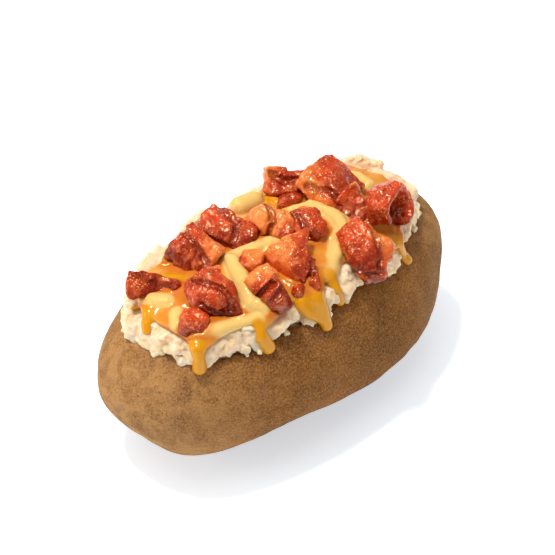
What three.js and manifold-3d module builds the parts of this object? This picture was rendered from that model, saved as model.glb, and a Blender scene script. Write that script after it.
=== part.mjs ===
// A baked potato in its skin, split along the top and fluffed, with cheese sauce and chopped bacon.
// Millimetres, +Z up. X runs along the potato, and the origin is on the floor under its foot.
import * as THREE from "three";
import { mergeVertices } from "three/addons/utils/BufferGeometryUtils.js";
import Module from "manifold-3d";

const wasm = await Module();
wasm.setup();

// ---- Driving dimensions ----
const LENGTH = 134; // of the potato, along X
const WIDTH = 72; // across its middle, along Y
const DEPTH = 66; // from its underside to its top, before it was cut
const FOOT = 1.6; // how far its weight flattens the underside
const BLUNT = 2.35; // superellipse power of its length: 2 is an ellipsoid, and more is blunter
const GAP = 0.3; // left between pieces that touch
const SLIVER = 0.2; // facets that are finer than this are merged

const FLESH_LENGTH = 115; // of the fluffed flesh that stands out of the skin, along X
const FLESH_WIDTH = 56.5;
const CROWN = 63.5; // height of the flesh's middle
const RIM = 1.2; // height of the flesh's edge above the skin that it lies on
const SPLIT = 0.9; // share of the flesh's outline that the split in the skin has
const FORKED = 24; // how deep the fork broke the flesh, below the skin's edge

const SAUCE = 2.2; // thickness of the cheese sauce
const SAUCE_LENGTH = 104;
const SAUCE_WIDTH = 47;

const MID_Z = DEPTH / 2 - FOOT; // height of the potato's own axis
const OVAL = 2.5; // superellipse power of the outlines seen from above
const { sin, cos, abs, hypot, atan2, sqrt, exp, max, min, sign, PI } = Math;
const radians = THREE.MathUtils.degToRad;

// ---- Surfaces and solids ----
// A closed surface: a sphere's points, each moved to where place(direction) puts it.
function moulded(columns, rows, place, poles = "z") {
  const sphere = new THREE.SphereGeometry(1, columns, rows);
  sphere.rotateX(PI / 2);
  if (poles === "x") sphere.rotateY(PI / 2);
  return moved(sphere, (point) => place(point.normalize()));
}

function moved(geometry, place) {
  const points = geometry.getAttribute("position");
  for (let i = 0; i < points.count; i++) {
    const p = place(new THREE.Vector3().fromBufferAttribute(points, i));
    points.setXYZ(i, p.x, p.y, p.z);
  }
  return geometry;
}

// Three.js geometry as a manifold-3d solid, and back.
function solidOf(geometry) {
  geometry.deleteAttribute("normal");
  geometry.deleteAttribute("uv");
  const merged = mergeVertices(geometry, 1e-3);
  return new wasm.Manifold(
    new wasm.Mesh({
      numProp: 3,
      vertProperties: merged.getAttribute("position").array,
      triVerts: new Uint32Array(merged.index.array),
    }),
  );
}

function geometryOf(solid) {
  const mesh = solid.getMesh();
  const geometry = new THREE.BufferGeometry();
  geometry.setAttribute("position", new THREE.BufferAttribute(mesh.vertProperties, 3));
  geometry.setIndex(new THREE.BufferAttribute(mesh.triVerts, 1));
  geometry.computeVertexNormals();
  return geometry;
}

// The largest body of a solid that a cut may have left in several.
const largest = (solid) => solid.decompose().reduce((most, body) => (body.volume() > most.volume() ? body : most));

// Distance from the middle to an oval's edge, in a direction.
function ovalReach(angle, length, width) {
  const along = abs((2 * cos(angle)) / length) ** OVAL;
  const across = abs((2 * sin(angle)) / width) ** OVAL;
  return (along + across) ** (-1 / OVAL);
}

// ---- Skin ----
// Low swellings and dimples of the tuber: in which direction from its middle, how wide and how high.
const SWELLINGS = [
  { at: [-0.96, 0.27, -0.1], spread: 0.25, rise: 0.022 },
  { at: [-0.93, -0.05, -0.33], spread: 0.25, rise: -0.035 },
  { at: [-0.7, -0.5, -0.52], spread: 0.22, rise: 0.03 },
  { at: [-0.2, -0.82, -0.55], spread: 0.22, rise: -0.07 },
  { at: [0.2, -0.82, -0.53], spread: 0.35, rise: 0.07 },
  { at: [0.5, -0.74, -0.44], spread: 0.35, rise: 0.045 },
  { at: [-0.55, -0.55, -0.65], spread: 0.3, rise: -0.03 },
  { at: [0.8, -0.6, -0.05], spread: 0.3, rise: -0.025 },
  { at: [0.92, -0.15, 0.37], spread: 0.3, rise: 0.035 },
];

function skinGeometry(grow) {
  return moulded(
    34,
    22,
    (d) => {
      const round = hypot(d.y, d.z);
      const across = round ** (2 / BLUNT) / (round || 1);
      let swell = 1;
      for (const { at, spread, rise } of SWELLINGS) {
        const far = d.distanceTo(new THREE.Vector3(...at)) / spread;
        swell += rise * exp(-far * far);
      }
      return new THREE.Vector3(
        (LENGTH / 2) * sign(d.x) * abs(d.x) ** (2 / BLUNT) * swell + grow * d.x,
        (WIDTH / 2) * across * d.y * swell + grow * d.y,
        MID_Z + (DEPTH / 2) * across * d.z * swell + grow * d.z,
      );
    },
    "x",
  );
}

// Height of the uncut skin's upper side over a place in plan.
function skinTop(x, y) {
  const ring = max(0, 1 - abs((2 * x) / LENGTH) ** BLUNT) ** (1 / BLUNT);
  const side = min(1, abs((2 * y) / WIDTH) / (ring || 1));
  return MID_Z + (DEPTH / 2) * ring * sqrt(1 - side * side);
}

// ---- Fluffed flesh ----
const FLAT = 1e-6; // less than this is level
const HEAP = 0.5; // power of a heap's rounding: less is flatter on top, with a steeper edge

// The ragged edge of the flesh in plan: a long oval with lobes of several sizes.
function fleshReach(angle) {
  const lobes = 0.9 * sin(7 * angle + 1) + 0.8 * sin(13 * angle) + 0.9 * sin(23 * angle + 2);
  return ovalReach(angle, FLESH_LENGTH, FLESH_WIDTH) + lobes;
}

const fleshLumps = (x, y) => 0.9 * sin(0.42 * x + 1) * cos(0.38 * y) + 0.6 * sin(0.9 * x + 0.7 * y);

// Height of the flesh's top over a place in plan, and of the skin beyond its edge.
function coverTop(x, y) {
  const angle = atan2(y, x);
  const reach = fleshReach(angle);
  const share = hypot(x, y) / reach;
  if (share >= 1) return skinTop(x, y) + RIM;
  const edge = skinTop(reach * cos(angle), reach * sin(angle)) + RIM;
  return edge + (CROWN + fleshLumps(x, y) - edge) * (1 - share * share) ** (HEAP / 2);
}

// A heap over an outline: reach(angle) in plan, with heights of its own for its top and underside.
// steep is 1 in the middle of the heap and 0 at its edge, and rim is the skin's height under that edge.
function heap(columns, rows, reach, top, underside, grow) {
  return moulded(columns, rows, (d) => {
    const angle = atan2(d.y, d.x);
    const outward = new THREE.Vector3(cos(angle), sin(angle), 0);
    const edge = outward.clone().multiplyScalar(reach(angle));
    const rim = skinTop(edge.x, edge.y);
    const share = hypot(d.x, d.y);
    const point = edge.multiplyScalar(share);
    const steep = sqrt(abs(d.z));
    point.z = (d.z > FLAT ? top : underside)(point.x, point.y, steep, rim);
    const upward = abs(d.z) > FLAT ? sign(d.z) : 0;
    return point.addScaledVector(outward, grow * share).add(new THREE.Vector3(0, 0, grow * upward));
  });
}

// The flesh from its top to below the hollow's floor.
function fleshHeap(grow) {
  const top = (x, y) => coverTop(x, y);
  const underside = (x, y, steep, rim) => rim + RIM - 1.2 * FORKED * steep;
  return solidOf(heap(50, 10, fleshReach, top, underside, grow));
}

// The boat-shaped hollow that the fork broke open, and the room above it.
function hollow(grow) {
  const top = (x, y, steep, rim) => rim + RIM + DEPTH * steep;
  const underside = (x, y, steep, rim) => rim + RIM - (FORKED + RIM) * steep;
  return solidOf(heap(32, 8, (angle) => SPLIT * fleshReach(angle), top, underside, grow));
}

// ---- Cheese sauce ----
// Tongues that run over the flesh's edge: where around the middle, how far and how wide.
const TONGUES = [
  { angle: -159, reach: 10.5, wide: 4.5 },
  { angle: -137, reach: 9.5, wide: 5.5 },
  { angle: -105, reach: 8, wide: 7 },
  { angle: -41, reach: 7, wide: 8 },
  { angle: -24, reach: 3, wide: 9 },
  { angle: 176, reach: 2, wide: 5 },
];

function sauceReach(angle) {
  let reach = ovalReach(angle, SAUCE_LENGTH, SAUCE_WIDTH) + 0.8 * sin(9 * angle + 2);
  for (const tongue of TONGUES) {
    const turn = angle - radians(tongue.angle);
    const off = atan2(sin(turn), cos(turn)) / radians(tongue.wide);
    reach += tongue.reach * exp(-off * off);
  }
  return reach;
}

// The sauce from its top to under the flesh's surface, before it is cut to lie on the flesh.
function sauceHeap() {
  const inward = (x, y) => 1 - SAUCE / (hypot(x, y) + SAUCE);
  const top = (x, y, steep) => coverTop(x * inward(x, y), y * inward(x, y)) + SAUCE * steep;
  const underside = (x, y, steep) => coverTop(x, y) - SAUCE * steep;
  return solidOf(heap(80, 9, sauceReach, top, underside, 0));
}

// ---- Chopped bacon ----
const EDGE_THINNING = 0.45; // share of the thickness that a piece loses at its edge
const WAIST_SPREAD = 0.4; // half width of a waist, in half lengths
const CREASE = 0.2; // how sharp a fold is, in half lengths

// Each piece starts flat, with its length along X. It is folded (at a share of its half length, by so many
// degrees), bent along its length and cupped across its width, so that what is beyond turns down. Then it is
// twisted about its length, spun about its own upright, and tipped towards a bearing, in degrees from +X.
// waist narrows the middle, taper narrows the far end, wedge shortens the right side, and round is 0 for a
// square outline and 1 for an oval. lobes are more of the same piece.
const NEAR = -133; // the bearing of the long side that the sauce runs over
const ROUND = { bend: 60, cup: 60, round: 0.9 }; // the set of a lump
const BACON = [
  { at: [-44, 9, 64], size: [19, 7.5, 2.8], spin: -48, tip: 48, folds: [[0.3, -70]], twist: 30, taper: 0.5 },
  { at: [-27.5, 8.5, 68.5], size: [16, 15, 3], spin: 5, tip: 30, folds: [[0.4, 65]], bend: 10 },
  {
    at: [-35, -8.5, 67.3], size: [16, 13, 8], spin: -96, tip: 35, ...ROUND,
    lobes: [{ at: [-33.6, -11.6, 68.3], size: [19, 6.5, 3], spin: -108, tip: 40, bend: 90 }],
  },
  { at: [-44.8, -11.5, 63], size: [8.5, 8, 6.5], spin: -40, tip: 30, ...ROUND },
  { at: [-12.5, 9.5, 68], size: [19, 12, 7], spin: -76, tip: 25, bend: 50, round: 0.7, waist: 0.25 },
  {
    at: [-2.2, 4.4, 68.3], size: [9.5, 10.5, 8], spin: 45, tip: 25, ...ROUND,
    lobes: [{ at: [0.5, -0.8, 68.3], size: [9.5, 9, 8], spin: 45, tip: 25, ...ROUND }],
  },
  { at: [8, -6, 68.3], size: [10.5, 10.5, 8], spin: -20, tip: 25, ...ROUND },
  { at: [-7.4, -18.3, 68.2], size: [12, 19, 3.2], spin: -8, tip: 40, folds: [[-0.05, 60]], wedge: 1.6 },
  {
    at: [-20.2, -16, 67.8], size: [9.5, 9.5, 8], spin: -103, tip: 35, ...ROUND,
    lobes: [
      { at: [-22, -22.3, 66], size: [8, 6, 6], spin: -103, tip: 40, ...ROUND },
      { at: [-21, -22, 66.2], size: [11, 6, 3], spin: -95, tip: 60, bend: -60 },
    ],
  },
  { at: [-17, -7, 68.5], size: [8, 6, 5], spin: -40, tip: 20, ...ROUND },
  {
    at: [15, 17, 68.3], size: [11, 7, 5], spin: 45, tip: 35, bend: -40, round: 0.6,
    lobes: [{ at: [19, 12.5, 67.5], size: [13, 7, 4.5], spin: -38, tip: 35, bend: 30, round: 0.4 }],
  },
  { at: [25.5, 2, 70.3], size: [19, 17, 3], spin: 2, tip: 35, folds: [[-0.5, 60]] },
  { at: [33.5, -16.5, 74.5], size: [31, 10, 3], spin: 8, tip: -38, bend: 270 },
  {
    at: [12.8, -25.8, 66.5], size: [21, 10.5, 7], spin: -108, tip: 40, bend: 60, cup: 50, taper: 0.4, round: 0.4,
    lobes: [{ at: [18, -28.4, 65.5], size: [8.5, 7, 6], spin: -100, tip: 40, ...ROUND }],
  },
  { at: [26, -8.5, 67], size: [13, 9, 3], spin: -100, tip: 48, bend: -30 },
];

// A run of length s and height h off a middle line that folds and bends down.
function bent(s, h, length, bend, folds) {
  const STEPS = 16;
  const turnAt = (where) => {
    const share = where / (length / 2);
    const creased = (sum, [at, turn]) => sum + (radians(turn) / 2) * Math.tanh((share - at) / CREASE);
    return (radians(bend) / 2) * share + folds.reduce(creased, 0);
  };
  let x = 0;
  let z = 0;
  for (let i = 0; i < STEPS; i++) {
    const turn = turnAt((s * (i + 0.5)) / STEPS);
    x += (cos(turn) * s) / STEPS;
    z -= (sin(turn) * s) / STEPS;
  }
  const turn = turnAt(s);
  return [x + h * sin(turn), z + h * cos(turn)];
}

function baconPiece(piece, grow) {
  const { at, size, spin, tip, bend = 0, cup = 0, folds = [], twist = 0, lobes = [] } = piece;
  const { waist = 0, taper = 0, wedge = 0, round = 0.15 } = piece;
  const [length, width, thick] = size;
  const block = new THREE.BoxGeometry(2, 2, 2, 6, 4, 1);
  moved(block, ({ x: a, y: b, z: c }) => {
    const narrowed = (1 - (taper * a) / 2) * (1 - waist * exp(-((a / WAIST_SPREAD) ** 2)));
    const thinned = 1 - EDGE_THINNING * max(a ** 4, b ** 4);
    const s = a * (length / 2 + grow) * sqrt(1 - (round * b * b) / 2) * (1 + (wedge * b) / 2);
    const t = b * (width / 2 + grow) * sqrt(1 - (round * a * a) / 2) * narrowed;
    const [y, z] = bent(t, c * ((thick / 2) * thinned + grow), width, cup, []);
    const turned = new THREE.Vector3(0, y, z).applyAxisAngle(new THREE.Vector3(1, 0, 0), radians(twist) * (a / 2));
    const [along, up] = bent(s, turned.z, length, bend, folds);
    return new THREE.Vector3(along, turned.y, up);
  });
  block.rotateZ(radians(spin - NEAR));
  block.rotateY(radians(tip));
  block.rotateZ(radians(NEAR));
  const body = solidOf(block.translate(...at));
  return lobes.reduce((whole, lobe) => whole.add(baconPiece(lobe, grow)), body);
}

// ---- Assembly ----
const group = new THREE.Group();

function add(name, solid, colour, roughness) {
  const material = new THREE.MeshStandardMaterial({ color: colour, roughness, metalness: 0 });
  const mesh = new THREE.Mesh(geometryOf(largest(solid.simplify(SLIVER))), material);
  mesh.name = name;
  group.add(mesh);
}

const aboveFloor = solidOf(new THREE.BoxGeometry(2 * LENGTH, 2 * WIDTH, 2 * DEPTH).translate(0, 0, DEPTH));
const skin = solidOf(skinGeometry(0)).intersect(aboveFloor).subtract(hollow(0));
const skinSpace = solidOf(skinGeometry(GAP)).subtract(hollow(-GAP));

const flesh = fleshHeap(0).subtract(skinSpace);

// Each piece is cut to lie on what was there before it, with a gap.
let taken = skinSpace.add(fleshHeap(GAP));
const pieces = BACON.map((piece) => {
  const own = baconPiece(piece, 0).subtract(taken);
  taken = taken.add(baconPiece(piece, GAP));
  return own;
});

add("potato", skin, 0x9a6b3c, 0.8);
add("flesh", flesh, 0xf0e2bd, 0.9);
add("cheese", sauceHeap().subtract(taken), 0xf0b040, 0.35);
pieces.forEach((piece, i) => add(`bacon_${String(i + 1).padStart(2, "0")}`, piece, 0xb4442a, 0.45));

// The swellings put the potato off the middle of its own outline, so the whole is moved to stand on it.
const middle = new THREE.Box3().setFromObject(group).getCenter(new THREE.Vector3());
group.position.set(-middle.x, -middle.y, 0);

export default group;
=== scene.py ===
"""The looks of a baked potato with cheese sauce and chopped bacon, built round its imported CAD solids.

Shapes are worked out in millimetres, as signed distances on a grid of cubes: below zero is inside.
Each becomes a mesh in metres, in the frame's own place.
"""

import itertools
import math

import bpy
import numpy as np
import openvdb
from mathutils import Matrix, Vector


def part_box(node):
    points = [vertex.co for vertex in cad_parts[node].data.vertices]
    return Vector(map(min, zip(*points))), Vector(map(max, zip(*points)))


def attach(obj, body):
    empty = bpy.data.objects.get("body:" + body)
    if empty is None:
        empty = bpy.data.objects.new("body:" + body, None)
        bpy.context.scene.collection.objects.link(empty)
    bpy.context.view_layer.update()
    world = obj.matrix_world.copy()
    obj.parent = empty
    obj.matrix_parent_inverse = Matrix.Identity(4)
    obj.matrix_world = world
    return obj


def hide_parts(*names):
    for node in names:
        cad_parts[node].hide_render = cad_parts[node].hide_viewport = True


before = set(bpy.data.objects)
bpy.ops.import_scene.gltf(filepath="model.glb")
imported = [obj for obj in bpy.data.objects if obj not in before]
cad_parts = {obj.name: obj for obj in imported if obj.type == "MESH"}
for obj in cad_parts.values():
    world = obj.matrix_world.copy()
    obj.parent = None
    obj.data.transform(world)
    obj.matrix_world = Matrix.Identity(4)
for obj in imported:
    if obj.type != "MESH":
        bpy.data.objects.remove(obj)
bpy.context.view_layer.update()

MM = 0.001
BACON = sorted(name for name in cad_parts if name.startswith("bacon"))


def box_mm(node):
    """A CAD node's lowest and highest corner, in millimetres."""
    low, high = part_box(node)
    return np.array(low) / MM, np.array(high) / MM


def in_box(shares, low, high):
    """The places for shares of the box, or of one side of it, from low to high."""
    return low + np.array(shares) * (high - low)


# ---- Noise ----


def lattice(cells, seed):
    """A steady random number from 0 to 1 for each cell (..., 3) of whole numbers."""
    h = cells[..., 0] * 374761393 + cells[..., 1] * 668265263 + cells[..., 2] * 2147483647
    h = (h + seed * 1274126177) & 0xFFFFFFFF
    h = ((h ^ (h >> 13)) * 1274126177) & 0xFFFFFFFF
    return (h ^ (h >> 16)) / 0x100000000


def noise(points, size, seed):
    """Smooth noise from -1 to 1 at points (n, 3), with lumps about size wide."""
    at = points / size
    cell = np.floor(at).astype(np.int64)
    f = at - cell
    f = f * f * (3 - 2 * f)
    total = np.zeros(len(points))
    for corner in itertools.product((0, 1), repeat=3):
        weight = np.prod(np.where(corner, f, 1 - f), axis=1)
        total += weight * lattice(cell + np.array(corner), seed)
    return 2 * total - 1


def noise3(points, size, seed):
    """Three noises of their own for x, y and z."""
    return np.stack([noise(points, size, seed + i) for i in range(3)], axis=1)


def smoothstep(low, high, value):
    """From 0 at low to 1 at high, with soft ends. Low may be the greater of the two."""
    t = np.clip((value - low) / (high - low), 0, 1)
    return t * t * (3 - 2 * t)


# ---- Signed distances on a grid ----


class Grid:
    """A box of cubes with sides of cell millimetres."""

    def __init__(self, low, high, cell):
        self.cell = cell
        self.start = np.floor(np.array(low) / cell).astype(int)
        self.shape = tuple(np.ceil(np.array(high) / cell).astype(int) - self.start + 1)
        self.transform = openvdb.createLinearTransform(voxelSize=cell)

    def distance(self, points, faces, reach):
        """Distances to a closed mesh of triangles or quads, cut off at reach."""
        kind = "triangles" if faces.shape[1] == 3 else "quads"
        level = openvdb.FloatGrid.createLevelSetFromPolygons(
            points.astype(np.float32),
            **{kind: faces.astype(np.uint32)},
            transform=self.transform,
            halfWidth=reach / self.cell,
        )
        values = np.empty(self.shape, np.float32)
        level.copyToArray(values, ijk=tuple(int(v) for v in self.start))
        return values

    def node(self, name, reach):
        """Distances to a CAD node."""
        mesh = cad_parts[name].data
        mesh.calc_loop_triangles()
        points = np.empty(len(mesh.vertices) * 3, np.float32)
        mesh.vertices.foreach_get("co", points)
        faces = np.empty(len(mesh.loop_triangles) * 3, np.int32)
        mesh.loop_triangles.foreach_get("vertices", faces)
        return self.distance(points.reshape(-1, 3) / MM, faces.reshape(-1, 3), reach)

    def noise(self, size, seed):
        """Smooth noise from -1 to 1 for each cube, with lumps about size wide."""
        steps = [np.arange(n) * self.cell / size for n in self.shape]
        random = np.random.default_rng(seed)
        values = 2 * random.random([int(s[-1]) + 2 for s in steps], dtype=np.float32) - 1
        for axis, s in enumerate(steps):
            first = s.astype(int)
            f = (s - first).astype(np.float32)
            f = (f * f * (3 - 2 * f)).reshape([-1 if i == axis else 1 for i in range(3)])
            values = np.take(values, first, axis) * (1 - f) + np.take(values, first + 1, axis) * f
        return values

    def crumbs(self, size, seed):
        """From 0 in narrow creases to about 1 on the lumps between them, about size wide."""
        return np.abs(self.noise(size, seed) + 0.5 * self.noise(0.6 * size, seed + 1))

    def strand(self, values, path, radii, blend):
        """Joins a strand along a path of points, with a radius at each, smoothly to the distances."""
        margin = max(radii) + 2 * blend
        first = np.floor((path.min(0) - margin) / self.cell).astype(int)
        last = np.ceil((path.max(0) + margin) / self.cell).astype(int)
        low = np.clip(first - self.start, 0, self.shape)
        high = np.clip(last - self.start, 0, self.shape)
        window = tuple(slice(a, b) for a, b in zip(low, high))
        places = (np.indices(high - low).reshape(3, -1).T + low + self.start) * self.cell
        away = strand_distance(places, path, radii).reshape(tuple(high - low))
        values[window] = smooth_min(values[window], away.astype(np.float32), blend)

    def groove(self, values, path, radius, blend):
        """Cuts a round groove along a path into the distances."""
        values *= -1
        self.strand(values, path, [radius] * len(path), blend)
        values *= -1

    def sample(self, values, points):
        """Distances at points, between the cubes' middles."""
        at = np.clip(points / self.cell - self.start, 0, np.array(self.shape) - 1.001)
        cell = np.floor(at).astype(int)
        f = at - cell
        total = np.zeros(len(points))
        for corner in itertools.product((0, 1), repeat=3):
            weight = np.prod(np.where(corner, f, 1 - f), axis=1)
            total += weight * values[tuple((cell + np.array(corner)).T)]
        return total

    def slope(self, values, point):
        """The outward direction of the surface near a point."""
        steps = np.repeat(np.eye(3), 2, axis=0) * np.tile([[1.0], [-1.0]], (3, 1))
        away = self.sample(values, point + steps)
        outward = away[0::2] - away[1::2]
        return outward / max(np.linalg.norm(outward), 1e-6)

    def settled(self, values, point):
        """The surface's point near a point."""
        for _ in range(3):
            point = point - self.sample(values, point[None]) * self.slope(values, point)
        return point

    def drop(self, values, x, y):
        """The point of the surface that is highest over a place in plan."""
        column = np.floor(np.array([x, y]) / self.cell).astype(int) - self.start[:2]
        inside = np.nonzero(values[column[0], column[1]] < 0)[0]
        return np.array([x, y, (inside[-1] + self.start[2] + 0.5) * self.cell])

    def surface(self, values, adaptivity=0.0):
        """The surface's points and its triangles and quads."""
        level = openvdb.FloatGrid(background=float(values.max()))
        level.transform = self.transform
        level.copyFromArray(values, ijk=tuple(int(v) for v in self.start))
        return level.convertToPolygons(0.0, adaptivity)


def without_crumbs(points, triangles, quads):
    """The largest linked surface, without the small ones that lie loose beside it."""
    label = np.arange(len(points))
    while True:
        lower = label.copy()
        for faces in (triangles, quads):
            np.minimum.at(lower, faces.ravel(), np.repeat(label[faces].min(axis=1), faces.shape[1]))
        lower = lower[lower]
        if (lower == label).all():
            break
        label = lower
    kept = label == np.bincount(label).argmax()
    renumbered = np.cumsum(kept) - 1
    triangles, quads = (renumbered[faces[kept[faces[:, 0]]]] for faces in (triangles, quads))
    return points[kept], triangles, quads


def strand_distance(points, path, radii):
    """Distances to a chain of tapered round rods."""
    away = np.full(len(points), 99.0)
    for a, b, ra, rb in zip(path[:-1], path[1:], radii[:-1], radii[1:]):
        along = b - a
        t = np.clip((points - a) @ along / (along @ along), 0, 1)
        off = np.linalg.norm(points - a - t[:, None] * along, axis=1)
        away = np.minimum(away, off - (ra + (rb - ra) * t))
    return away


FADE = (1.4, 0.2)  # millimetres off a strand between which its own colour comes in


def near(points, strands):
    """From 1 on some strands to 0 a little way off them."""
    away = np.min([strand_distance(points, path, radii) for path, radii in strands], axis=0)
    return smoothstep(*FADE, away)


def fillet(a, b, blend):
    """How much lower than the lower of two distances their smooth union is."""
    h = np.clip(0.5 + 0.5 * (b - a) / blend, 0, 1)
    return b + (a - b) * h - blend * h * (1 - h) - np.minimum(a, b)


def smooth_min(a, b, blend):
    """The lower of two distances, with a fillet about blend wide where they meet."""
    return np.minimum(a, b) + fillet(a, b, blend)


def blurred(values, width):
    """Distances averaged over about width cubes, which rounds corners."""
    reach = int(math.ceil(2.2 * width))
    weights = np.exp(-0.5 * (np.arange(-reach, reach + 1) / width) ** 2)
    weights /= weights.sum()
    for axis in range(3):
        margins = [(reach, reach) if i == axis else (0, 0) for i in range(3)]
        padded = np.pad(values, margins, mode="edge")
        length = values.shape[axis]
        total = np.zeros_like(values)
        for i, weight in enumerate(weights):
            window = [slice(None)] * 3
            window[axis] = slice(i, i + length)
            total += np.float32(weight) * padded[tuple(window)]
        values = total
    return values


# ---- Meshes ----


def piece(name, points, triangles, quads, values=None):
    """A smooth-shaded mesh object in metres, with named numbers for each of its points."""
    mesh = bpy.data.meshes.new(name)
    mesh.vertices.add(len(points))
    mesh.vertices.foreach_set("co", (np.asarray(points) * MM).astype(np.float32).ravel())
    loops = np.concatenate([np.asarray(triangles).ravel(), np.asarray(quads).ravel()]).astype(np.int32)
    sizes = np.concatenate([np.full(len(triangles), 3), np.full(len(quads), 4)]).astype(np.int32)
    mesh.loops.add(len(loops))
    mesh.loops.foreach_set("vertex_index", loops)
    starts = np.concatenate([[0], np.cumsum(sizes)[:-1]]).astype(np.int32)
    mesh.polygons.add(len(sizes))
    mesh.polygons.foreach_set("loop_start", starts)
    mesh.polygons.foreach_set("use_smooth", np.ones(len(sizes), bool))
    mesh.update(calc_edges=True)
    mesh.validate()
    for key, numbers in (values or {}).items():
        attribute = mesh.attributes.new(key, "FLOAT", "POINT")
        attribute.data.foreach_set("value", np.asarray(numbers, np.float32))
    thing = bpy.data.objects.new(name, mesh)
    bpy.context.scene.collection.objects.link(thing)
    return thing


def normals(points, triangles, quads):
    """The outward direction at each point."""
    total = np.zeros((len(points), 3))
    for faces in (triangles, quads):
        if len(faces):
            a, b, c = (points[faces[:, i]] for i in (0, 1, len(faces[0]) - 1))
            across = np.cross(b - a, c - a)
            for corner, axis in itertools.product(faces.T, range(3)):
                total[:, axis] += np.bincount(corner, across[:, axis], len(points))
    return total / np.maximum(np.linalg.norm(total, axis=1, keepdims=True), 1e-9)


def place(thing, slot, *nodes):
    """The piece rides on the body and stands for CAD nodes."""
    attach(thing, "root")
    if nodes:
        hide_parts(*nodes)


MARGIN = 3.0  # millimetres of grid round a solid


# ---- Bacon ----
# Lengths in millimetres, here and up to the materials.
CELL_BACON = 0.3
CREASE_RADIUS = 1.0
CREASE_BLEND = 0.7

# Fat at one side: that side's bearing in degrees from +X, and the fat's share of the piece.
FAT = {
    "bacon_02": (-43, 0.3),
    "bacon_06": (90, 0.9),
    "bacon_08": (137, 0.4),
    "bacon_09": (60, 0.45),
    "bacon_10": (0, 0.9),
    "bacon_11": (137, 0.25),
    "bacon_12": (160, 0.35),
    "bacon_14": (-43, 0.3),
}
USUAL_FAT = (47, 0.12)

# Creases between a piece's folds: shares of its box, across, along and up.
CREASES = {
    "bacon_01": [[(0.25, 0.85, 0.92), (0.46, 0.75, 0.80), (0.59, 0.53, 0.49), (0.82, 0.25, 0.44)]],
    "bacon_02": [[(0.55, 0.90, 0.95), (0.48, 0.67, 0.90), (0.42, 0.32, 0.63), (0.45, 0.10, 0.40)]],
    "bacon_03": [
        [
            (0.30, 0.80, 0.86),
            (0.49, 0.50, 0.86),
            (0.60, 0.29, 0.72),
            (0.60, 0.13, 0.46),
            (0.50, 0.05, 0.20),
        ],
        [(0.11, 0.43, 0.51), (0.20, 0.26, 0.39), (0.30, 0.12, 0.20)],
    ],
    "bacon_05": [
        [(0.70, 0.85, 0.90), (0.59, 0.66, 0.97), (0.63, 0.40, 0.88), (0.31, 0.23, 0.59)],
        [(0.04, 0.68, 0.50), (0.14, 0.49, 0.44), (0.19, 0.24, 0.36)],
    ],
    "bacon_06": [[(0.65, 0.80, 0.90), (0.56, 0.64, 0.97), (0.33, 0.36, 0.82), (0.10, 0.38, 0.30)]],
    "bacon_07": [[(0.37, 0.69, 0.92), (0.25, 0.33, 0.74), (0.20, 0.20, 0.40)]],
    "bacon_08": [[(0.85, 0.51, 0.69), (0.55, 0.23, 0.47), (0.25, 0.18, 0.17)]],
    "bacon_09": [
        [(0.04, 0.55, 0.45), (0.30, 0.42, 0.70), (0.75, 0.50, 0.80)],
        [(0.06, 0.23, 0.48), (0.30, 0.18, 0.62), (0.60, 0.28, 0.66)],
    ],
    "bacon_11": [[(0.31, 0.73, 0.87), (0.43, 0.44, 0.59), (0.75, 0.24, 0.66)]],
    "bacon_12": [[(0.05, 0.70, 0.74), (0.15, 0.61, 0.74), (0.28, 0.37, 0.69), (0.38, 0.16, 0.53)]],
    "bacon_14": [
        [
            (0.90, 0.85, 0.95),
            (0.79, 0.57, 0.90),
            (0.56, 0.31, 0.75),
            (0.48, 0.13, 0.56),
            (0.33, 0.06, 0.37),
        ],
        [(0.03, 0.34, 0.42), (0.14, 0.14, 0.34), (0.39, 0.04, 0.36)],
    ],
}


def make_bacon(name, seed):
    """A CAD piece with rounded corners, creases, crinkles and frilled edges."""
    low, high = box_mm(name)
    grid = Grid(low - MARGIN, high + MARGIN, CELL_BACON)
    values = blurred(grid.node(name, 2.4), 1.2) - 0.15
    creases = [
        np.array([grid.settled(values, in_box(shares, low, high)) for shares in path])
        for path in CREASES.get(name, [])
    ]
    for path in creases:
        grid.groove(values, path, CREASE_RADIUS, CREASE_BLEND)
    values -= 0.35 * grid.crumbs(2.4, seed) - 0.1
    rounded = blurred(values, 3.0)
    points, triangles, quads = grid.surface(values)
    edge = smoothstep(0.25, 1.0, grid.sample(rounded, points))
    # Painted shade: the grooves between folds are marked here, to be painted dark red.
    crease_shade = near(points, [(path, [0.6] * len(path)) for path in creases]) if creases else 0 * edge
    fat_bearing, share = FAT.get(name, USUAL_FAT)
    turn = math.radians(fat_bearing)
    local = (points - (low + high) / 2) / (high - low)
    across = 2 * (local[:, 0] * math.cos(turn) + local[:, 1] * math.sin(turn))
    ragged = across + 0.35 * noise(points, 5.0, seed) + 0.15 * noise(points, 1.5, seed + 1)
    fat = smoothstep(0.9 - 2 * share, 1.3 - 2 * share, ragged)
    # Painted light: each piece is painted lighter towards its top and darker towards its bottom, as where
    # light falls.
    height = (points[:, 2] - low[2]) / (high - low)[2]
    lit = smoothstep(0.15, 0.95, height + 0.3 * noise(points, 6.0, seed + 2))
    frills = (0.15 + 0.45 * edge)[:, None] * noise3(points, 1.4, 7)
    points = points + 1.0 * noise3(points, 7.0, 1) + 0.6 * noise3(points, 2.8, 4) + frills
    attributes = {"fat": fat, "edge": edge, "lit": lit, "crease_shade": crease_shade}
    thing = piece(name + "_look", points, triangles, quads, attributes)
    place(thing, "bacon", name)
    return points, quads, thing


bacon = [make_bacon(name, 11 * (i + 1)) for i, name in enumerate(BACON)]


# ---- Distances that the flesh and the sauce share ----
CELL_TOP = 0.47
SPREAD = 5.0  # how far from a surface its distances reach

LUMP_BLEND = 1.5
LUMP_GAP = 0.3  # between a lump and the sauce that it parts

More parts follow.
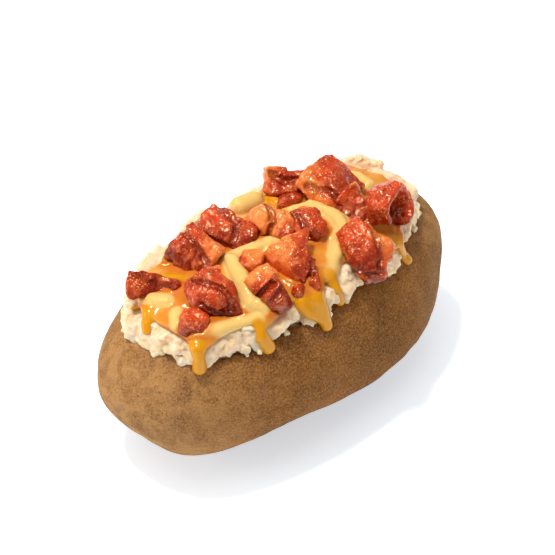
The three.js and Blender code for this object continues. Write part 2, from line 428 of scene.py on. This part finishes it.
# Lumps of flesh that stand up through the sauce: place, as shares of the flesh's box, and radius.
LUMPS = [
    [(0.18, 0.83, 0.87, 3.0), (0.24, 0.79, 0.91, 3.0)],
    [(0.36, 0.89, 0.92, 2.6), (0.40, 0.87, 0.94, 2.6)],
    [(0.85, 0.78, 0.87, 2.6), (0.92, 0.67, 0.84, 2.8)],
    [(0.92, 0.56, 0.88, 2.8), (0.94, 0.36, 0.79, 2.8)],
]

flesh_low, flesh_high = box_mm("flesh")
sauce_low, sauce_high = box_mm("cheese")
top = Grid(flesh_low - SPREAD, np.maximum(flesh_high, sauce_high) + SPREAD, CELL_TOP)
flesh_shape = blurred(top.node("flesh", SPREAD), 2.0)
sauce_shape = blurred(top.node("cheese", SPREAD), 1.6)
skin_shape = top.node("potato", SPREAD)
starts = np.cumsum([0] + [len(points) for points, _, _ in bacon])
meat_shape = top.distance(
    np.concatenate([points for points, _, _ in bacon]),
    np.concatenate([quads + start for (_, quads, _), start in zip(bacon, starts)]),
    SPREAD,
)


def over(share):
    """The place in millimetres for shares of the sauce's length and width."""
    return in_box(share, sauce_low[:2], sauce_high[:2])


def raise_lumps():
    """Joins the lumps to the flesh and parts the sauce round them."""
    for lump in LUMPS:
        path = in_box([share for *share, _ in lump], flesh_low, flesh_high)
        radii = [radius for *_, radius in lump]
        top.strand(flesh_shape, path, radii, LUMP_BLEND)
        top.groove(sauce_shape, path, max(radii) + LUMP_GAP, 1.0)


raise_lumps()


# ---- Small bits of bacon ----

# Places as shares of the sauce's length and width, and radii.
BITS = [(0.62, 0.71, 2.6), (0.65, 0.69, 2.0), (0.39, 0.13, 2.1), (0.42, 0.15, 1.6)]
BIT_ENDS = ((-0.5, 0.3, 0.6), (0.6, 0.2, 0.4))  # from the place, as each bit is longer than wide


def make_bits():
    """The bits as one piece of small rounded lumps that lie on the flesh and the sauce."""
    values = np.full(top.shape, SPREAD, np.float32)
    ground = np.minimum(flesh_shape, sauce_shape)
    for u, v, radius in BITS:
        point = top.drop(ground, *over((u, v)))
        path = np.array([point + end for end in BIT_ENDS])
        top.strand(values, path, [radius, 0.8 * radius], 0.8)
    values -= 0.6 * top.crumbs(2.4, 71)
    points, triangles, quads = top.surface(values)
    half = np.full(len(points), 0.5)
    # The bits get half the painted light and none of the painted shade in creases.
    attributes = {"fat": 0 * half, "edge": 0 * half, "lit": half, "crease_shade": 0 * half}
    thing = piece("bacon_bits", points, triangles, quads, attributes)
    place(thing, "bacon")
    return thing


# ---- Fluffed flesh ----


def make_flesh():
    """The flesh, broken into lumps and crumbs wherever the sauce leaves it bare."""
    bare = smoothstep(-0.3, 2.2, sauce_shape)
    lumps = 1.9 * top.crumbs(8.0, 51) + 1.5 * top.crumbs(4.0, 53)
    values = flesh_shape - bare * (lumps - 0.8)
    points, triangles, quads = without_crumbs(*top.surface(values, 0.01))
    outward = normals(points, triangles, quads)
    fine = 1.2 * np.abs(noise(points, 2.2, 61)) + 0.6 * np.abs(noise(points, 1.1, 62)) - 0.45
    points = points + (fine * top.sample(bare, points))[:, None] * outward
    points = points + 0.6 * noise3(points, 4.0, 63) + 0.3 * noise3(points, 1.4, 66)
    # Painted shade: 1 on the lumps and 0 in the hollows, which the material paints darker and warmer.
    proud = smoothstep(-0.9, 0.9, top.sample(blurred(values, 4.0), points))
    thing = piece("flesh_look", points, triangles, quads, {"proud": proud})
    place(thing, "flesh", "flesh")
    return thing


bits = make_bits()
flesh = make_flesh()


# ---- Cheese sauce ----
# Places are shares of the sauce's length and width, from its far left corner.

# Ropes that lie on the sauce: place and radius.
ROPES = [
    [
        (0.32, 0.57, 1.6),
        (0.36, 0.55, 1.9),
        (0.40, 0.52, 2.0),
        (0.45, 0.50, 1.8),
        (0.52, 0.43, 1.8),
        (0.58, 0.36, 1.4),
    ],
    [(0.44, 0.50, 1.6), (0.41, 0.42, 1.5)],
    [
        (0.60, 0.63, 1.5),
        (0.65, 0.58, 1.9),
        (0.68, 0.50, 2.1),
        (0.68, 0.39, 2.4),
        (0.66, 0.30, 2.5),
        (0.60, 0.24, 2.2),
    ],
    [(0.60, 0.24, 2.2), (0.55, 0.17, 2.0), (0.51, 0.12, 1.8)],
    [(0.50, 0.88, 3.6), (0.55, 0.87, 3.4)],
    [(0.31, 0.54, 2.4), (0.29, 0.44, 2.8), (0.26, 0.33, 2.6), (0.24, 0.23, 2.2), (0.26, 0.17, 2.0)],
    [(0.04, 0.72, 1.8), (0.05, 0.64, 2.1), (0.07, 0.58, 1.7)],
    [(0.06, 0.47, 1.6), (0.04, 0.41, 1.9)],
    [(0.88, 0.40, 2.0), (0.91, 0.34, 2.6), (0.92, 0.27, 2.4)],
    [(0.86, 0.72, 2.0), (0.88, 0.62, 2.3), (0.88, 0.52, 1.8)],
    [(0.06, 0.30, 1.8), (0.12, 0.22, 1.7), (0.18, 0.19, 1.6), (0.23, 0.15, 1.6)],
]

# Drips that run down over the flesh: place, as shares of the sauce's box, and radius.
DRIPS = [
    [(0.06, 0.30, 0.64, 2.4), (0.03, 0.23, 0.60, 2.4), (0.02, 0.20, 0.42, 1.9), (0.02, 0.20, 0.21, 2.3)],
    [(0.21, 0.18, 0.74, 1.8), (0.22, 0.14, 0.60, 1.9), (0.21, 0.07, 0.48, 2.1), (0.23, 0.05, 0.24, 2.4)],
    [(0.53, 0.18, 0.86, 2.0), (0.51, 0.13, 0.74, 1.9), (0.51, 0.06, 0.55, 1.7), (0.52, 0.04, 0.30, 1.8)],
    [(0.43, 0.14, 0.80, 2.2), (0.42, 0.05, 0.66, 2.5), (0.43, 0.01, 0.44, 2.4), (0.44, -0.01, 0.12, 2.0)],
    [(0.40, 0.14, 0.80, 2.2), (0.38, 0.09, 0.62, 2.4), (0.39, 0.05, 0.46, 2.2), (0.42, 0.02, 0.30, 2.0)],
    [(0.81, 0.14, 0.69, 1.9), (0.80, 0.07, 0.55, 1.6), (0.82, 0.09, 0.26, 1.8), (0.83, 0.07, 0.12, 1.7)],
    [(0.05, 0.67, 0.72, 1.5), (0.01, 0.61, 0.70, 1.9), (-0.01, 0.58, 0.59, 2.1), (-0.02, 0.56, 0.52, 1.8)],
]

# Shreds of cheddar that have not melted away: place and radius.
SHREDS = [
    [(0.59, 0.85, 1.5), (0.60, 0.76, 1.5)],
    [(0.24, 0.95, 1.4), (0.29, 0.93, 1.5)],
    [(0.10, 0.79, 1.4), (0.13, 0.74, 1.6), (0.16, 0.66, 1.5)],
    [(0.03, 0.86, 0.8), (0.00, 0.82, 0.9), (0.00, 0.76, 0.9), (0.02, 0.71, 0.8)],
    [(0.70, 0.11, 1.3), (0.74, 0.12, 1.5), (0.78, 0.10, 1.4)],
]

# Between these shares of the sauce's height the solid's own tongues give way to the drips.
TONGUES_END = (0.62, 0.42)
STRAND_BLEND = 1.0
CLIMB = 2.6  # how far the sauce is drawn up the bacon


def laid(ground, rope):
    """A rope's path on the ground and its radii."""
    path = [top.drop(ground, *over((u, v))) + (0, 0, 0.5 * radius) for u, v, radius in rope]
    return np.array(path), [radius for _, _, radius in rope]


def running(ground, drip):
    """A drip's path on the ground and its radii."""
    path = in_box([share for *share, _ in drip], sauce_low, sauce_high)
    return np.array([top.settled(ground, point) for point in path]), [radius for *_, radius in drip]


def make_cheese():
    """The sauce with its ropes, drips and shreds, drawn up a little where it meets the bacon."""
    values = sauce_shape - 0.35 - 0.5 * top.noise(8.0, 21) - 0.2 * top.noise(3.5, 22)
    height = (np.arange(top.shape[2]) + top.start[2]) * CELL_TOP
    fade = in_box(TONGUES_END, sauce_low[2], sauce_high[2])
    values = values + 2.5 * smoothstep(*fade, height).astype(np.float32)
    ground = blurred(np.minimum(np.minimum(flesh_shape, sauce_shape), skin_shape), 3.0)
    shreds = [laid(ground, rope) for rope in SHREDS]
    drips = [running(ground, drip) for drip in DRIPS]
    ropes = [laid(ground, rope) for rope in ROPES]
    for path, radii in ropes + drips + shreds:
        top.strand(values, path, radii, STRAND_BLEND)
    values = values + fillet(values, meat_shape, CLIMB)
    points, triangles, quads = top.surface(values)
    attributes = {
        "cheddar": near(points, shreds + [(path[1:], radii[1:]) for path, radii in drips]),
        # Paler on the ropes: partly their own cream, partly painted light on their raised tops.
        "pale": near(points, ropes),
        # Orange near the bacon: partly its grease, partly painted shade and painted reflection of the
        # bacon.
        "grease_and_shade": smoothstep(6.0, 0.5, top.sample(meat_shape, points)),
    }
    thing = piece("cheese_look", points, triangles, quads, attributes)
    place(thing, "cheese", "cheese")
    return thing


cheese = make_cheese()


# ---- Skin ----
CELL_SKIN = 0.8


def make_skin():
    """The skin with slow dents and fine wrinkles, flat where it rests."""
    low, high = box_mm("potato")
    grid = Grid(low - MARGIN, high + MARGIN, CELL_SKIN)
    values = blurred(grid.node("potato", 6.0), 2.2)
    points, triangles, quads = grid.surface(values)
    outward = normals(points, triangles, quads)
    dents = 0.4 * noise(points, 11.0, 31) + 0.16 * noise(points, 4.0, 32)
    relief = dents + 0.05 * noise(points, 1.6, 33)
    points = points + outward * relief[:, None]
    points[:, 2] = np.maximum(points[:, 2], 0.0)
    thing = piece("skin_look", points, triangles, quads)
    place(thing, "skin", "potato")
    return thing


skin = make_skin()


# ---- Materials ----


class Shader:
    """A material and short ways to add nodes to it."""

    def __init__(self, name):
        self.material = bpy.data.materials.new(name)
        self.material.use_nodes = True
        self.tree = self.material.node_tree
        self.surface = self.tree.nodes["Principled BSDF"]

    def node(self, kind, inputs=None, **settings):
        """A new node with its inputs and settings."""
        node = self.tree.nodes.new("ShaderNode" + kind)
        for key, value in settings.items():
            setattr(node, key, value)
        self.set(node, inputs or {})
        return node

    def set(self, node, inputs):
        """Gives each input a value, or a link from a socket."""
        for key, value in inputs.items():
            if isinstance(value, bpy.types.NodeSocket):
                self.tree.links.new(value, node.inputs[key])
            else:
                node.inputs[key].default_value = value

    def grain(self, size, detail=2.0, roughness=0.5, distortion=0.0):
        """Noise from 0 to 1 with lumps about size millimetres wide."""
        where = self.node("TexCoord").outputs["Object"]
        scale = 1 / (size * MM)
        inputs = {"Vector": where, "Scale": scale, "Detail": detail, "Roughness": roughness}
        return self.node("TexNoise", {**inputs, "Distortion": distortion}).outputs["Fac"]

    def range(self, value, low, high, to_low=0.0, to_high=1.0):
        """A value moved from one range to another, with soft ends."""
        inputs = {"Value": value, "From Min": low, "From Max": high, "To Min": to_low, "To Max": to_high}
        return self.node("MapRange", inputs, interpolation_type="SMOOTHSTEP").outputs["Result"]

    def mix(self, factor, a, b):
        """A colour between a and b."""
        node = self.node("Mix", data_type="RGBA")
        self.set(node, {0: factor, 6: a, 7: b})
        return node.outputs[2]

    def math(self, operation, a, b):
        """One operation on two numbers."""
        return self.node("Math", {0: a, 1: b}, operation=operation).outputs[0]

    def attribute(self, name):
        """One of the mesh's named numbers."""
        return self.node("Attribute", attribute_name=name).outputs["Fac"]

    def bump(self, height, depth):
        """A bump of depth millimetres."""
        inputs = {"Height": height, "Distance": depth * MM, "Strength": 1.0}
        return self.node("Bump", inputs).outputs["Normal"]

    def paint(self, *things):
        """Makes this the only material of each thing."""
        for thing in things:
            thing.data.materials.clear()
            thing.data.materials.append(self.material)


WARM = (1.0, 0.75, 0.5, 1.0)  # tint of reflections, as fat and starch are never quite clear
WARM_BACON = (1.0, 0.68, 0.45, 1.0)
HALF_LENGTH = box_mm("potato")[1][0] * MM  # metres


def colour(r, g, b):
    """Screen colour from 0 to 255 as linear red, green, blue and alpha."""
    shares = [c / 255 for c in (r, g, b)]
    return (*[c / 12.92 if c <= 0.04045 else ((c + 0.055) / 1.055) ** 2.4 for c in shares], 1.0)


def skin_material():
    """Dull brown skin, mottled, bruised and specked, with painted light that makes it paler towards the
    ends.
    """
    s = Shader("baked_skin")
    broad = s.range(s.grain(30, 3), 0.35, 0.65)
    blotch = s.range(s.grain(8, 5, 0.65, 0.5), 0.42, 0.66)
    bruise = s.range(s.grain(13, 3, 0.55, 0.4), 0.52, 0.72)
    speck = s.range(s.grain(0.6, 3, 0.75), 0.38, 0.7)
    base = s.mix(broad, colour(142, 88, 36), colour(116, 66, 18))
    along = s.node("SeparateXYZ", {0: s.node("TexCoord").outputs["Object"]}).outputs["X"]
    # Painted light: the skin is painted paler towards both ends, as where light falls on an end.
    ends = s.range(s.math("ABSOLUTE", along, 0.0), 0.35 * HALF_LENGTH, 1.05 * HALF_LENGTH)
    base = s.mix(s.math("MULTIPLY", ends, 0.7), base, colour(196, 150, 98))
    base = s.mix(s.math("MULTIPLY", blotch, 0.6), base, colour(96, 52, 18))
    base = s.mix(s.math("MULTIPLY", bruise, 0.6), base, colour(116, 76, 54))
    base = s.mix(s.math("MULTIPLY", speck, 0.5), base, colour(204, 158, 102))
    freckle = s.range(s.grain(0.8, 2, 0.6), 0.6, 0.72)
    base = s.mix(s.math("MULTIPLY", freckle, 0.7), base, colour(76, 42, 14))
    pores = s.math("MULTIPLY", s.grain(0.9, 3, 0.7), 1.4)
    folds = s.math("MULTIPLY", s.grain(5.0, 4, 0.6, 1.0), 1.6)
    rough = s.bump(s.math("ADD", pores, folds), 0.7)
    s.set(s.surface, {"Base Color": base, "Roughness": 0.8, "Normal": rough, "Specular IOR Level": 0.1})
    s.set(s.surface, {"Specular Tint": WARM})
    return s


def flesh_material():
    """Soft cream flesh, with painted shade, darker and warmer, in its creases."""
    s = Shader("fluffy_flesh")
    tone = s.range(s.grain(4, 3), 0.35, 0.65)
    base = s.mix(tone, colour(232, 212, 186), colour(224, 196, 160))
    # Painted shade in the hollows between the lumps.
    base = s.mix(s.range(s.attribute("proud"), 0.0, 0.7, 0.7, 0.0), base, colour(232, 184, 134))
    rough = s.bump(s.grain(0.8, 3, 0.7), 0.3)
    s.set(s.surface, {"Base Color": base, "Roughness": 0.8, "Normal": rough, "Specular IOR Level": 0.2})
    s.set(s.surface, {"Subsurface Weight": 0.9, "Subsurface Scale": 1.8 * MM})
    s.set(s.surface, {"Subsurface Radius": (2.0, 1.2, 0.7), "Specular Tint": WARM})
    return s


def cheese_material():
    """Glossy sauce: ropes paler, partly their own cream and partly painted light; yellow drips and shreds;
    and orange round the bacon, partly grease and partly painted shade.
    """
    s = Shader("melted_cheese")
    tone = s.range(s.grain(7, 2), 0.35, 0.65)
    base = s.mix(tone, colour(218, 156, 66), colour(208, 134, 44))
    # Orange round the bacon, partly grease and partly painted shade.
    base = s.mix(s.math("MULTIPLY", s.attribute("grease_and_shade"), 0.85), base, colour(192, 98, 20))
    # Paler ropes: their own cream together with painted light.
    base = s.mix(s.math("MULTIPLY", s.attribute("pale"), 0.95), base, colour(226, 192, 118))
    base = s.mix(s.attribute("cheddar"), base, colour(208, 142, 12))
    soft = s.bump(s.grain(2.5, 2), 0.2)
    s.set(s.surface, {"Base Color": base, "Roughness": 0.1, "Normal": soft, "Specular Tint": WARM})
    s.set(s.surface, {"Subsurface Weight": 0.4, "Subsurface Scale": 1.2 * MM})
    s.set(s.surface, {"Subsurface Radius": (2.0, 0.9, 0.2)})
    return s


def bacon_material():
    """Fried bacon, shiny with grease: red lean, orange fat, dark crispy rims, painted shade in the
    creases, painted light on the tops and fine painted glints.
    """
    s = Shader("fried_bacon")
    tone = s.range(s.grain(3.0, 3, 0.6), 0.35, 0.7)
    # Painted light: lit and shaded copies of the lean and the fat, lighter on the painted-lit tops.
    high = s.attribute("lit")
    lean = s.mix(high, colour(112, 10, 2), colour(200, 62, 20))
    lean = s.mix(s.math("MULTIPLY", tone, 0.6), lean, colour(128, 18, 4))
    fat = s.mix(high, colour(196, 74, 24), colour(228, 128, 60))
    streaks = s.range(s.grain(2.8, 2, 0.6), 0.46, 0.72, 0.0, 0.7)
    base = s.mix(s.attribute("fat"), s.mix(streaks, lean, colour(206, 94, 40)), fat)
    # Dark crispy rims at the thin edges, and painted shade in the creases between folds.
    crisp_rims_and_crease_shade = s.math("MULTIPLY", s.math("MAXIMUM", s.attribute("edge"), s.attribute("crease_shade")), 0.6)
    base = s.mix(crisp_rims_and_crease_shade, base, colour(112, 16, 2))
    # Painted glints: tiny warm-white specks in the base colour, in patches and mostly on the painted-lit
    # tops.
    painted_glints = s.range(s.grain(0.55, 1, 0.5), 0.6, 0.7)
    glint_patches = s.range(s.grain(4.0, 2), 0.38, 0.6, 0.1, 0.8)
    painted_glints = s.math("MULTIPLY", painted_glints, s.math("MULTIPLY", glint_patches, high))
    base = s.mix(painted_glints, base, colour(255, 212, 166))
    fine = s.math("MULTIPLY", s.grain(0.6, 1, 0.5), 0.34)
    wrinkles = s.grain(1.8, 2, 0.5, 0.6)
    rough = s.bump(s.math("ADD", fine, wrinkles), 0.4)
    s.set(s.surface, {"Base Color": base, "Roughness": 0.12, "Normal": rough})
    s.set(s.surface, {"Specular IOR Level": 0.75, "Specular Tint": WARM_BACON})
    s.set(s.surface, {"Subsurface Weight": 0.25, "Subsurface Scale": 0.6 * MM})
    s.set(s.surface, {"Subsurface Radius": (2.0, 0.5, 0.2)})
    return s


skin_material().paint(skin)
flesh_material().paint(flesh)
cheese_material().paint(cheese)
bacon_material().paint(bits, *[thing for _, _, thing in bacon])


# ---- Floor, light and camera ----
# Angles in degrees and distances in metres, with the lens and its sensor in millimetres.
CAMERA_AZIMUTH = -43
CAMERA_ELEVATION = 42
CAMERA_DISTANCE = 0.6
LENS = 120
SENSOR = 36
AIM = 0.832  # share of the skin's height that the camera and the lamps point at
FLOOR_REACH = 3.0  # from the middle to a side
SKY = (1, 0.92, 0.82, 1)
SKY_STRENGTH = 0.4

# Lamps: turn from the camera's azimuth, elevation, distance, size, watts and colour.
LAMPS = {
    "key": (-85, 76, 1.0, 0.16, 8.0, (1.0, 0.95, 0.87)),
    "overhead": (-60, 78, 1.0, 0.9, 3.4, (1.0, 0.95, 0.87)),
    "fill": (-80, 20, 1.2, 0.6, 3.0, (1.0, 0.95, 0.88)),
}

target = Vector((0, 0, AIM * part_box("potato")[1][2]))


def bearing(azimuth, elevation):
    """The way from the object to something seen from that azimuth (0 looks along +Y) and elevation."""
    a, e = math.radians(azimuth), math.radians(elevation)
    return Vector((math.sin(a) * math.cos(e), -math.cos(a) * math.cos(e), math.sin(e)))


def soft_light(name, azimuth, elevation, distance, size, watts, tint):
    """A round lamp that points at the object."""
    light = bpy.data.lights.new(name, "AREA")
    light.shape = "DISK"
    light.size = size
    light.energy = watts
    light.color = tint
    thing = bpy.data.objects.new(name, light)
    way = bearing(azimuth, elevation)
    thing.location = target + way * distance
    thing.rotation_euler = (-way).to_track_quat("-Z", "Y").to_euler()
    bpy.context.scene.collection.objects.link(thing)


corners = [(x * FLOOR_REACH, y * FLOOR_REACH, 0) for x, y in ((-1, -1), (1, -1), (1, 1), (-1, 1))]
floor_mesh = bpy.data.meshes.new("floor")
floor_mesh.from_pydata(corners, [], [(0, 1, 2, 3)])
floor = bpy.data.objects.new("floor", floor_mesh)
bpy.context.scene.collection.objects.link(floor)
ground = Shader("pale_floor")
ground.set(ground.surface, {"Base Color": (0.86, 0.92, 1.0, 1), "Roughness": 0.9})
ground.set(ground.surface, {"Specular IOR Level": 0.0})
ground.set(ground.surface, {"Emission Color": (0.8, 0.9, 1.0, 1), "Emission Strength": 0.55})
ground.paint(floor)

for lamp, (turn, *rest) in LAMPS.items():
    soft_light(lamp, CAMERA_AZIMUTH + turn, *rest)

world = bpy.data.worlds.new("studio")
world.use_nodes = True
sky = world.node_tree.nodes["Background"].inputs
sky["Color"].default_value = SKY
sky["Strength"].default_value = SKY_STRENGTH
bpy.context.scene.world = world
bpy.context.scene.view_settings.view_transform = "Standard"

camera_data = bpy.data.cameras.new("camera")
camera_data.lens = LENS
camera_data.sensor_width = SENSOR
camera = bpy.data.objects.new("camera", camera_data)
back = bearing(CAMERA_AZIMUTH, CAMERA_ELEVATION)
camera.location = target + back * CAMERA_DISTANCE
camera.rotation_euler = (-back).to_track_quat("-Z", "Y").to_euler()
bpy.context.scene.collection.objects.link(camera)
bpy.context.scene.camera = camera
